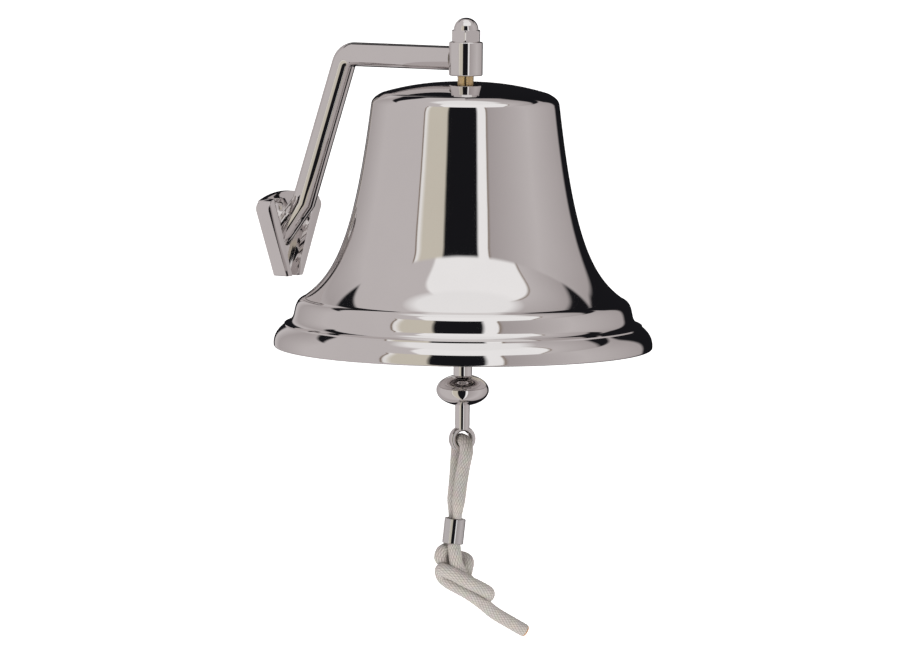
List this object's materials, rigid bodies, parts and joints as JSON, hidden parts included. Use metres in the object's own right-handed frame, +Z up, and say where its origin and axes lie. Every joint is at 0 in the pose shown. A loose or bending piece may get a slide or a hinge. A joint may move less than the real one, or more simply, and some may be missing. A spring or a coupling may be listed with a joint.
{
  "type": "ship_bell",
  "caption": "Wall-mounted ship bell: polished flared shell hung from a bent round bracket on a tapered wall plate, with a swinging clapper and a knotted pull rope.",
  "frame": {"origin": "on the wall plate's flat back face, on its centre line, 15 mm below the line of its two screw holes", "axes": "+X points away from the wall to the bell, +Z is up, +Y completes a right-handed frame"},
  "size_m": [0.195, 0.18, 0.2982],
  "materials": {
    "chrome": "mirror polished plating over cast and turned brass",
    "bright_steel": "bright plated hardware",
    "ferrule_steel": "polished drawn tube",
    "brass": "bare turned brass thread",
    "rope": "braided off-white polyester cord"
  },
  "bodies": {
    "mount": {"wall_plate": "chrome", "arm_rod": "chrome", "hanger_boss": "chrome", "cap_nut": "chrome", "hanger_stud": "brass", "bell": "chrome", "crown_washer": "bright_steel", "crown_nut": "bright_steel", "swivel_washer": "bright_steel", "swivel_nut": "bright_steel"},
    "swivel": {"swivel_fork": "chrome", "clapper_pin": "chrome"},
    "clapper": {"clapper_rod": "chrome", "clapper_ball": "chrome", "clapper_eye": "chrome"},
    "lanyard": {"rope_loop": "rope", "ferrule": "ferrule_steel", "rope_knot": "rope", "rope_tail": "rope"}
  },
  "joints": [
    {"name": "clapper_swivel", "type": "hinge", "parent": "mount", "child": "swivel", "pos_m": [0.105, 0, 0.06], "axis": [0, 0, 1], "continuous": true},
    {"name": "clapper_swing", "type": "hinge", "parent": "swivel", "child": "clapper", "pos_m": [0.105, 0, 0.047], "axis": [0.8192, -0.5736, 0], "range_deg": [-36, 36]},
    {"name": "lanyard_swing", "type": "hinge", "parent": "clapper", "child": "lanyard", "pos_m": [0.105, 0, -0.091], "axis": [0.8192, -0.5736, 0], "range_deg": [-70, 70]}
  ]
}
